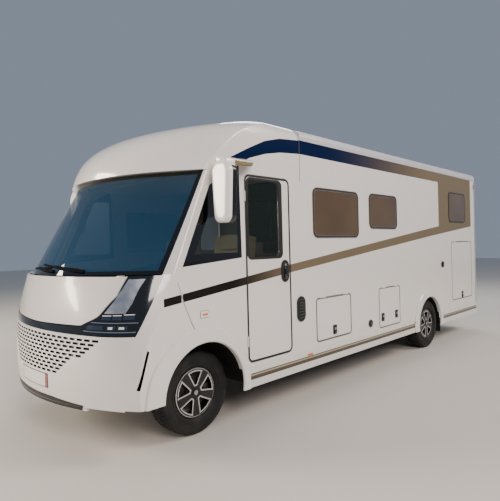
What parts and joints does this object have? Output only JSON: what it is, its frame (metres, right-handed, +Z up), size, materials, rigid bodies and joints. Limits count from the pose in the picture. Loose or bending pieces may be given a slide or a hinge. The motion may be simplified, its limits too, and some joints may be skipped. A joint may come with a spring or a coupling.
{
  "type": "integrated motorhome",
  "caption": "Flat-sided motorhome with an integrated cab, panoramic windscreen, hinged bonnet, doors and lids, opening roof hatches and steered front wheels.",
  "frame": {"origin": "on the ground, under the middle of the length and width", "axes": "+X to the vehicle's left, -Y forwards, +Z up"},
  "size_m": [2.8792, 7.4002, 2.8449],
  "materials": {
    "body_white": "gloss white gelcoat",
    "roof_white": "satin white laminate",
    "skirt_white": "gloss white coated aluminium",
    "rail_aluminium": "satin anodised",
    "gloss_black": "gloss black",
    "grille_white": "gloss white moulded",
    "black_plastic": "matt black moulded",
    "lamp_clear": "clear moulded lens",
    "lamp_red": "red lens",
    "glass_tinted": "tinted glass",
    "glass_bronze": "bronze tinted acrylic",
    "lid_acrylic": "opal acrylic",
    "floor_board": "coated board",
    "chassis_steel": "satin black chassis paint",
    "cast_dark": "cast, dark",
    "engine_iron": "cast",
    "cooler_aluminium": "finned",
    "exhaust_steel": "heat stained",
    "tank_plastic": "moulded",
    "mirror_case": "gloss white",
    "dash_plastic": "grained",
    "seat_fabric": "woven",
    "bed_fabric": "woven",
    "furniture_wood": "veneered",
    "tyre": "rubber",
    "alloy_black": "gloss black with machined edges"
  },
  "bodies": {
    "coach": {"arch_flares": "skirt_white", "bulkhead": "chassis_steel", "cab_seats": "seat_fabric", "chassis_frame": "chassis_steel", "dashboard": "dash_plastic", "dinette": "seat_fabric", "drop_bed": "bed_fabric", "engine": "engine_iron", "exhaust": "exhaust_steel", "floor": "floor_board", "front_axle": "cast_dark", "front_band": "gloss_black", "front_bumper": "body_white", "front_fenders": "body_white", "furniture": "furniture_wood", "grille": "grille_white", "headlamps": "lamp_clear", "mirrors": "mirror_case", "radiator": "cooler_aluminium", "rear_axle": "cast_dark", "rear_bed": "bed_fabric", "rear_bumper": "skirt_white", "rear_lamps": "lamp_red", "rear_wall": "body_white", "roof": "roof_white", "roof_cap": "body_white", "roof_rails": "rail_aluminium", "screen_pillars": "body_white", "side_wall_left": "body_white", "side_wall_right": "body_white", "skirts": "skirt_white", "tanks": "tank_plastic", "wheel_housings": "black_plastic", "window_panes": "glass_bronze", "windscreen": "glass_tinted"},
    "steer_left": {"knuckle_left": "cast_dark"},
    "steer_right": {"knuckle_right": "cast_dark"},
    "wheel_front_left": {"tyre_front_left": "tyre", "rim_front_left": "alloy_black"},
    "wheel_front_right": {"tyre_front_right": "tyre", "rim_front_right": "alloy_black"},
    "wheel_rear_left": {"tyre_rear_left": "tyre", "rim_rear_left": "alloy_black"},
    "wheel_rear_right": {"tyre_rear_right": "tyre", "rim_rear_right": "alloy_black"},
    "bonnet": {"bonnet": "body_white"},
    "driver_door": {"driver_door": "body_white", "driver_door_glass": "glass_tinted"},
    "entry_door": {"entry_door": "body_white", "entry_door_glass": "glass_tinted"},
    "locker_lid": {"locker_lid": "body_white"},
    "service_lid": {"service_lid": "body_white"},
    "garage_door_left": {"garage_door_left": "body_white"},
    "garage_door_right": {"garage_door_right": "body_white"},
    "roof_lid_front": {"roof_lid_front": "lid_acrylic"},
    "roof_lid_rear": {"roof_lid_rear": "lid_acrylic"}
  },
  "joints": [
    {"name": "steer_left", "type": "hinge", "parent": "coach", "child": "steer_left", "pos_m": [0.83, -2.725, 0.36], "axis": [0, 0, 1], "range_deg": [-34, 34]},
    {"name": "steer_right", "type": "hinge", "parent": "coach", "child": "steer_right", "pos_m": [-0.83, -2.725, 0.36], "axis": [0, 0, 1], "range_deg": [-34, 34]},
    {"name": "roll_front_left", "type": "hinge", "parent": "steer_left", "child": "wheel_front_left", "pos_m": [0.905, -2.725, 0.36], "axis": [1, 0, 0], "continuous": true},
    {"name": "roll_front_right", "type": "hinge", "parent": "steer_right", "child": "wheel_front_right", "pos_m": [-0.905, -2.725, 0.36], "axis": [1, 0, 0], "continuous": true},
    {"name": "roll_rear_left", "type": "hinge", "parent": "coach", "child": "wheel_rear_left", "pos_m": [1, 1.675, 0.36], "axis": [1, 0, 0], "continuous": true},
    {"name": "roll_rear_right", "type": "hinge", "parent": "coach", "child": "wheel_rear_right", "pos_m": [-1, 1.675, 0.36], "axis": [1, 0, 0], "continuous": true},
    {"name": "bonnet_hinge", "type": "hinge", "parent": "coach", "child": "bonnet", "pos_m": [0, -3.315, 1.385], "axis": [-1, 0, 0], "range_deg": [0, 50]},
    {"name": "driver_door_hinge", "type": "hinge", "parent": "coach", "child": "driver_door", "pos_m": [1.154, -2.2325, 1.4], "axis": [0, 0, -1], "range_deg": [0, 70]},
    {"name": "entry_door_hinge", "type": "hinge", "parent": "coach", "child": "entry_door", "pos_m": [-1.154, -1.0075, 1.4], "axis": [0, 0, 1], "range_deg": [0, 90]},
    {"name": "locker_lid_hinge", "type": "hinge", "parent": "coach", "child": "locker_lid", "pos_m": [1.154, -0.845, 1.0275], "axis": [0, -1, 0], "range_deg": [0, 90]},
    {"name": "service_lid_hinge", "type": "hinge", "parent": "coach", "child": "service_lid", "pos_m": [1.154, 0.438, 1.0265], "axis": [0, -1, 0], "range_deg": [0, 90]},
    {"name": "garage_hinge_left", "type": "hinge", "parent": "coach", "child": "garage_door_left", "pos_m": [1.154, 3.015, 1.5995], "axis": [0, -1, 0], "range_deg": [0, 85]},
    {"name": "garage_hinge_right", "type": "hinge", "parent": "coach", "child": "garage_door_right", "pos_m": [-1.154, 3.015, 1.5995], "axis": [0, 1, 0], "range_deg": [0, 85]},
    {"name": "roof_hinge_front", "type": "hinge", "parent": "coach", "child": "roof_lid_front", "pos_m": [0, -1.017, 2.823], "axis": [1, 0, 0], "range_deg": [0, 60]},
    {"name": "roof_hinge_rear", "type": "hinge", "parent": "coach", "child": "roof_lid_rear", "pos_m": [0, 2.533, 2.823], "axis": [1, 0, 0], "range_deg": [0, 60]}
  ],
  "couplings": [
    {"joint": "steer_right", "follows": "steer_left", "ratio": 1}
  ]
}
